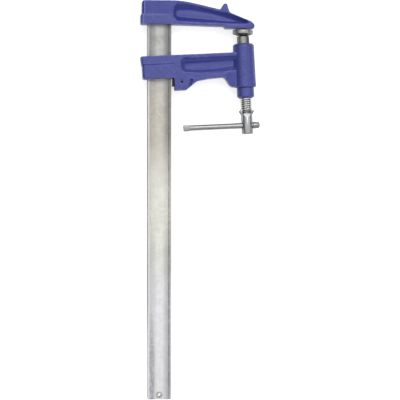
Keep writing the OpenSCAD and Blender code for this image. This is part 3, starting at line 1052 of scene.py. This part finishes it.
def thread_tree():
    """Geometry nodes for a right-hand thread on a rod along X: a grid wound into a helix."""
    tree = bpy.data.node_groups.new("Screw thread", "GeometryNodeTree")
    for kind, names in (("Geometry", ("Geometry",)),
                        ("Float", ("Outer Radius", "Thread Depth", "Pitch", "Start")),
                        ("Int", ("Turns", "Rows per Turn", "Columns")),
                        ("Material", ("Finish",))):
        for name in names:
            tree.interface.new_socket(name, in_out="INPUT", socket_type="NodeSocket" + kind)
    tree.interface.new_socket("Geometry", in_out="OUTPUT", socket_type="NodeSocketGeometry")
    n = Nodes(tree)
    given = n.node("NodeGroupInput").outputs
    turns = n.plus(given["Turns"], 1)
    rows = n.plus(n.times(turns, given["Rows per Turn"]), 1)
    columns = n.plus(given["Columns"], 1)
    grid = n.node("GeometryNodeMeshGrid", Vertices_X=rows, Vertices_Y=columns, Size_X=1, Size_Y=1)
    here = n.node("GeometryNodeInputPosition").outputs[0]
    row = n.times(n.plus(n.split(here, "X"), 0.5), turns)
    column = n.plus(n.split(here, "Y"), 0.5)
    # A row follows the helix, so the thread's corners stay crisp all the way round.
    raw = n.less(n.plus(row, column), 1)
    held = n.math("MINIMUM", n.math("MAXIMUM", raw, 0), given["Turns"])
    inside = n.math("COMPARE", raw, held, 1e-5)
    # The crest takes half of the pitch, the root a quarter, and the slopes the rest.
    saw = n.times(n.math("ABSOLUTE", n.less(n.math("FRACT", n.plus(row, 1e-5)), 0.5)), 2)
    lift = n.times(n.less(saw, 0.25), 4)
    lift.node.use_clamp = True
    root = n.less(given["Outer Radius"], given["Thread Depth"])
    radius = n.times(n.plus(root, n.times(lift, given["Thread Depth"])), inside)
    angle = n.times(column, 2 * math.pi)
    point = n.node(
        "ShaderNodeCombineXYZ", X=n.plus(given["Start"], n.times(held, given["Pitch"])),
        Y=n.times(radius, n.math("COSINE", angle)), Z=n.times(radius, n.math("SINE", angle)),
    )
    wound = n.node("GeometryNodeSetPosition", Geometry=grid.outputs["Mesh"],
                   Position=point.outputs[0]).outputs[0]
    weld = n.node("GeometryNodeMergeByDistance", Geometry=wound, Distance=1e-6).outputs[0]
    solid = n.node("GeometryNodeRealizeInstances", Geometry=weld).outputs[0]
    coat = n.node("GeometryNodeSetMaterial", Geometry=solid, Material=given["Finish"])
    n.feed(n.node("NodeGroupOutput").inputs[0], coat.outputs[0])
    return tree


def run_tree(name, tree, values, place):
    """A plain mesh from a node tree with these named inputs, moved to its place."""
    piece = mesh_object(name, bpy.data.meshes.new(name))
    mod = piece.modifiers.new("Nodes", "NODES")
    mod.node_group = tree
    for item in tree.interface.items_tree:
        if item.in_out == "INPUT" and item.name in values:
            mod[item.identifier] = values[item.name]
    baked(piece).data.transform(place)
    return piece


def ears(place):
    """The two ears pinched out of the screw's sides."""
    edge = SCREW_R - 0.8
    side = [(EARS_X, edge, 0), (EARS_TIP_X, EAR_REACH, 1.3), (EARS_FOOT_X, edge, 3)]
    path = side + [(x, -y, r) for x, y, r in reversed(side)]
    return plate("ears", rounded(path, 6), 6, place, bevel=1.3)


def pressed_wedge(place, side):
    """What the pinching tool pressed out of the front or the back of the screw."""
    outside, floor = 2 * SCREW_R, 6.1
    path = [(EARS_TIP_X + 1.4, outside), (EARS_TIP_X + 2.6, floor), (EARS_TIP_X + 4.4, floor),
            (WEDGE_FOOT_X, SCREW_R + 0.3), (WEDGE_FOOT_X, outside)]
    return plate("wedge", [(x, side * z) for x, z in path], 40, place @ quarter("X"))


def mark_wear(piece, place):
    """Marks old grease by its depth under the crest, rubbed crests, and the dull pinched part."""
    back = place.inverted()
    depth = sizes().thread_depth / MM
    grease_and_shadow, dull, rubbed = [], [], []
    for v in piece.data.vertices:
        x, y, z = back @ v.co / MM
        r = math.hypot(y, z)
        pinched = abs(x - EARS_TIP_X) < 1.6 or r > SCREW_R + 0.2
        grease_and_shadow.append(rise(r, SCREW_R, SCREW_R - depth) if x < EARS_TIP_X + 2 else 0.0)
        dull.append(float(pinched))
        rubbed.append(float(x < EARS_TIP_X and not pinched))
    mark(piece, "dull", dull)
    mark(piece, "rubbed", rubbed)
    mark(piece, "grease_and_shadow", grease_and_shadow)


class CLAMP_OT_spindle(bpy.types.Operator):
    """Build the spindle: thread, pinched ears, and a plain head with its cross hole"""

    bl_idname = "clamp.spindle"
    bl_label = "Spindle"

    def execute(self, context):
        s = sizes()
        thread = run_tree("thread", thread_tree(), {
            "Outer Radius": SCREW_R * MM, "Thread Depth": s.thread_depth,
            "Pitch": s.thread_pitch, "Start": THREAD_X * MM, "Turns": 24,
            "Rows per Turn": 12, "Columns": 72, "Finish": finish("bright_zinc"),
        }, SCREW)
        head_x = EARS_TIP_X + 1
        head = lathe("head", [
            (head_x, 0, 0), (head_x, 6.6, 0), (EARS_TIP_X + 4.4, SCREW_R - 0.02, 2),
            (SPINDLE_FOOT_X, SCREW_R, 1.3), (SPINDLE_FOOT_X, 0, 0),
        ], SCREW, around=128)
        hole = rod("hole", -14, 14, TOMMY_HOLE_R, tommy_place())
        cut(head, hole, pressed_wedge(SCREW, 1), pressed_wedge(SCREW, -1))
        soften(head, 0.4, 3, 25)
        first, last = GROOVE_X
        collar_x = THREAD_X - 0.1
        tip = lathe("tip", [
            (TIP_X, 0, 0), (TIP_X, TIP_R, 0.6), (first, TIP_R, 0), (first, GROOVE_R, 0),
            (last, GROOVE_R, 0), (last, TIP_R, 0), (collar_x, TIP_R, 0), (collar_x, 7.6, 0.8),
            (-21, 7.6, 0), (-21, 0, 0),
        ], SCREW)
        spindle = join("spindle_screw", [thread, ears(SCREW), head, tip])
        mark_wear(spindle, SCREW)
        dress(shade(spindle, 32), "screw", "bright_zinc", "spindle")
        return {"FINISHED"}


class CLAMP_OT_nut(bpy.types.Operator):
    """Build the nut under the sleeve"""

    bl_idname = "clamp.nut"
    bl_label = "Nut"

    def execute(self, context):
        nut = lathe("nut_turned", [
            (-2, 8.1, 0), (-2, 10.8, 0.8), (11.6, 10.8, 0), (11.9, 12.4, 0.5),
            (25.2, 12.6, 0.8), (27.6, 9.2, 0.4), (27.6, 8.5, 0.2), (27.2, 8.1, 0),
        ], SCREW, around=128)
        dress(shade(nut), "arm", "jaw_paint", "spindle_nut")
        return {"FINISHED"}


class CLAMP_OT_pad(bpy.types.Operator):
    """Build the swivel pad and its shank, and give the clip inside its finish"""

    bl_idname = "clamp.pad"
    bl_label = "Swivel pad"

    def execute(self, context):
        ball = arc((BALL_X, 0), BALL_R, 180, 62, 14)
        shank = lathe("shank_turned", [
            *[(x, max(r, 0), 0) for x, r in ball], (SHANK_TOP_X - 0.9, 3.9, 0.8),
            (SHANK_TOP_X, 5.6, 0.3), (SHANK_TOP_X, SHANK_R, 1.1), (SHANK_FOOT_X, SHANK_R, 0.6),
            (SHANK_FOOT_X, SHANK_BORE_R, 0), (SHANK_BORE_X, SHANK_BORE_R, 0),
            (SHANK_BORE_X, 0, 0),
        ], SCREW, steps=8, around=128, closed=False)
        back = SCREW.inverted()
        across = [(back @ v.co).y / MM for v in shank.data.vertices]
        mark(shank, "dull", 1.0)
        # Painted shadow of the sleeve down the shank's +Y side, carried by the grease mark.
        mark(shank, "grease_and_shadow", [rise(y, 1.5, 6) for y in across])
        dress(shade(shank), "shank", "bright_zinc", "pad_shank")

        # The pad lies square to the anvil, turned about the ball from the leaning shank.
        turn = (SCREW @ Matrix.Translation((BALL_X * MM, 0, 0))).to_translation()
        square = Matrix.Translation(turn) @ Matrix.Translation((-BALL_X * MM, 0, 0))
        socket_r = BALL_R + 0.1
        pad = lathe("pad_turned", [
            (PAD_FACE_X, 0, 0), (PAD_FACE_X, PAD_R, 0.9), (-66.2, PAD_R, 1.4),
            (-65.6, 11.8, 1.2), (HUB_FOOT_X, 9.0, 0.6), (HUB_FOOT_X, 7.0, 0.2),
            (-65.1, 4.1, 0.2), (BALL_X + 0.4, socket_r, 0), (BALL_X - socket_r, socket_r, 4.2),
            (BALL_X - socket_r, 0, 0),
        ], square, steps=8, around=128, closed=False)
        mark(pad, "dull", 0.45)
        dress(shade(pad), "pad", "bright_zinc", "swivel_pad")

        clip = frame["nodes"]["spindle_clip"].data.materials
        clip.clear()
        clip.append(finish("spring_steel"))
        return {"FINISHED"}


# ---- Tommy bar ----


def tommy_place():
    return SCREW @ Matrix.Translation((TOMMY_X * MM, 0, 0)) @ quarter("Z")


def oval_ring(x, wide, high, power, count=72):
    """A ring across X, from round at power 2 to nearly square at 5."""
    ring = []
    for k in range(count):
        t = 2 * math.pi * k / count
        c, d = math.cos(t), math.sin(t)
        across = math.copysign(abs(c) ** (2 / power), c) * wide
        out = math.copysign(abs(d) ** (2 / power), d) * high
        ring.append((x * MM, across * MM, out * MM))
    return ring


def swaged_bar(place):
    """The bar, round for most of its length and pressed flat at its far end."""
    flat = [(0, 3.6, 2.2, 2.6), (0.3, 4.1, 2.7, 3.2), (1.0, 4.5, 3.0, 4.2), (3.0, 4.6, 3.0, 5),
            (6.8, 4.55, 3.0, 5), (8.4, 4.2, 3.4, 3.2), (9.6, TOMMY_R, TOMMY_R, 2)]
    flat += [(9.6 + step * 10, TOMMY_R, TOMMY_R, 2) for step in range(1, 10)]
    rings = [oval_ring(TOMMY_LEFT + x, *form) for x, *form in flat]
    tenon = [(9.2, TOMMY_R), (9.8, 3.6), (9.85, TENON_R), (16.4, TENON_R)]
    rings += [oval_ring(x, r, r, 2) for x, r in tenon]
    return from_bmesh("tommy_swaged", tube(rings), place)


class CLAMP_OT_tommy(bpy.types.Operator):
    """Build the tommy bar with its swaged end and its knob"""

    bl_idname = "clamp.tommy"
    bl_label = "Tommy bar"

    def execute(self, context):
        place = tommy_place()
        bar = swaged_bar(place)
        mark(bar, "dull", 0.3)
        dress(shade(bar), "tommy", "bright_zinc", "tommy_bar")
        right, bore = TOMMY_RIGHT, TENON_R + 0.1
        cap = lathe("knob_turned", [
            (8.4, 4.1, 0.0), (8.4, 4.8, 0.8), (13.5, 4.7, 6), (right - 0.2, 4.35, 2.6),
            (right, 0, 0), (right - 1.8, 0, 0), (right - 1.8, bore, 0), (9.9, bore, 0),
            (9.9, 4.1, 0),
        ], place)
        mark(cap, "dull", 0.6)
        dress(shade(cap), "tommy", "bright_zinc", "tommy_cap")
        return {"FINISHED"}


# ---- Studio ----


def area_light(name, watts, place, target, width, height):
    """A flat light that faces its target, sizes in metres."""
    lamp = bpy.data.lights.new(name, "AREA")
    lamp.shape = "RECTANGLE"
    lamp.size, lamp.size_y = width, height
    lamp.energy = watts
    light = bpy.data.objects.new(name, lamp)
    bpy.context.scene.collection.objects.link(light)
    light.location = place
    aim = Vector(target) - Vector(place)
    light.rotation_euler = aim.to_track_quat("-Z", "Y").to_euler()


def floor_finish():
    """White paper: shown white to the camera and in metal, with the clamp's soft shadow on it."""
    f = Finish("floor_paper")
    f.set(Base_Color=(0.42, 0.42, 0.42), Roughness=0.9, Specular_IOR_Level=0.1)
    paper = f.node("ShaderNodeBsdfDiffuse", Color=(0.7, 0.7, 0.7))
    glow = f.node("ShaderNodeEmission", Strength=0.66)
    lit = f.node("ShaderNodeAddShader")
    ray = f.node("ShaderNodeLightPath").outputs
    seen = f.math("MAXIMUM", ray["Is Camera Ray"], ray["Is Glossy Ray"])
    seen = f.math("MAXIMUM", seen, ray["Is Transmission Ray"])
    pick = f.node("ShaderNodeMixShader")
    for socket, value in zip((*lit.inputs, *pick.inputs), (
        paper.outputs[0], glow.outputs[0], seen, f.shader.outputs[0], lit.outputs[0],
    )):
        f.feed(socket, value)
    f.fill(f.tree.nodes["Material Output"], Surface=pick.outputs[0])
    return f.material


def lay_floor():
    """A flat floor just under the clamp."""
    gap = 0.0005
    ground = CAD_BOX[0][2] - gap
    bm = bmesh.new()
    bmesh.ops.create_grid(bm, x_segments=24, y_segments=24, size=4)
    floor = from_bmesh("floor", bm, Matrix.Translation((0.2, -0.05, ground)), recalc=False)
    floor.data.materials.append(floor_finish())


def light_sky(scene, s):
    """A sky that is bright overhead and dim below, so that round metal gets dark edges."""
    world = bpy.data.worlds.new("studio")
    world.use_nodes = True
    scene.world = world
    n = Nodes(world.node_tree)
    height = n.split(n.node("ShaderNodeTexCoord").outputs["Generated"], "Z")
    n.fill(n.tree.nodes["Background"], Color=(1, 1, 1),
           Strength=n.ramp(height, 0.25, 0.95, s.horizon, s.zenith))


def set_camera(scene, s):
    """A long lens over the clamp, turned a little towards the bar's side, with -X up."""
    target = Vector((s.middle_x, s.middle_y, 0))
    place = target + Vector((0, -math.sin(s.yaw), math.cos(s.yaw))) * s.distance
    away = (place - target).normalized()
    right = Vector((-1, 0, 0)).cross(away).normalized()
    up = away.cross(right)
    lens = bpy.data.cameras.new("camera")
    lens.sensor_width = 36
    lens.lens = lens.sensor_width * s.distance / s.field
    lens.clip_end = 50
    camera = bpy.data.objects.new("camera", lens)
    scene.collection.objects.link(camera)
    turn = Matrix((right, up, away)).transposed().to_4x4()
    camera.matrix_world = Matrix.Translation(place) @ turn
    scene.camera = camera


class CLAMP_OT_studio(bpy.types.Operator):
    """Set the camera, the lights, the world and the floor"""

    bl_idname = "clamp.studio"
    bl_label = "Studio"

    def execute(self, context):
        scene = context.scene
        s = scene.clamp_studio
        set_camera(scene, s)
        lay_floor()
        area_light("key", s.key, (-0.8, 0.05, 1.45), (0.15, -0.06, 0), 1.2, 0.9)
        area_light("far strip", s.fill, (0.3, 1.3, 1.05), (0.3, -0.06, 0), 2.0, 0.25)
        area_light("near strip", s.near, (0.2, -0.75, 1.35), (0.2, -0.06, 0), 2.0, 0.1)
        light_sky(scene, s)
        scene.view_settings.view_transform = "Standard"
        return {"FINISHED"}


# ---- Add-on ----

STEPS = (
    CLAMP_OT_studio, CLAMP_OT_bar, CLAMP_OT_pins, CLAMP_OT_fixed_jaw, CLAMP_OT_sliding_arm,
    CLAMP_OT_brake, CLAMP_OT_spindle, CLAMP_OT_nut, CLAMP_OT_pad, CLAMP_OT_tommy,
)

GROUPS = (
    ("clamp_sizes", ClampSizes), ("clamp_colours", ClampColours), ("clamp_studio", ClampStudio),
)


class CLAMP_PT_sidebar(bpy.types.Panel):
    """Lists the clamp's pieces and settings"""

    bl_label = "Bar clamp"
    bl_idname = "CLAMP_PT_sidebar"
    bl_space_type = "VIEW_3D"
    bl_region_type = "UI"
    bl_category = "Clamp"

    def draw(self, context):
        for name, group in GROUPS:
            box = self.layout.box()
            for setting in group.__annotations__:
                box.prop(getattr(context.scene, name), setting)
        for step in STEPS:
            self.layout.operator(step.bl_idname)


def register():
    for _, group in GROUPS:
        bpy.utils.register_class(group)
    for step in (*STEPS, CLAMP_PT_sidebar):
        bpy.utils.register_class(step)
    for name, group in GROUPS:
        setattr(bpy.types.Scene, name, bpy.props.PointerProperty(type=group))


def unregister():
    for name, _ in GROUPS:
        delattr(bpy.types.Scene, name)
    for step in reversed((*STEPS, CLAMP_PT_sidebar)):
        bpy.utils.unregister_class(step)
    for _, group in reversed(GROUPS):
        bpy.utils.unregister_class(group)


def run(step):
    """Calls one operator by its name, and stops the script if it didn't finish."""
    group, name = step.bl_idname.split(".")
    if getattr(getattr(bpy.ops, group), name)() != {"FINISHED"}:
        raise RuntimeError(f"{step.bl_idname} didn't finish")


def main():
    register()
    for step in STEPS:
        run(step)


if __name__ == "__main__":
    main()
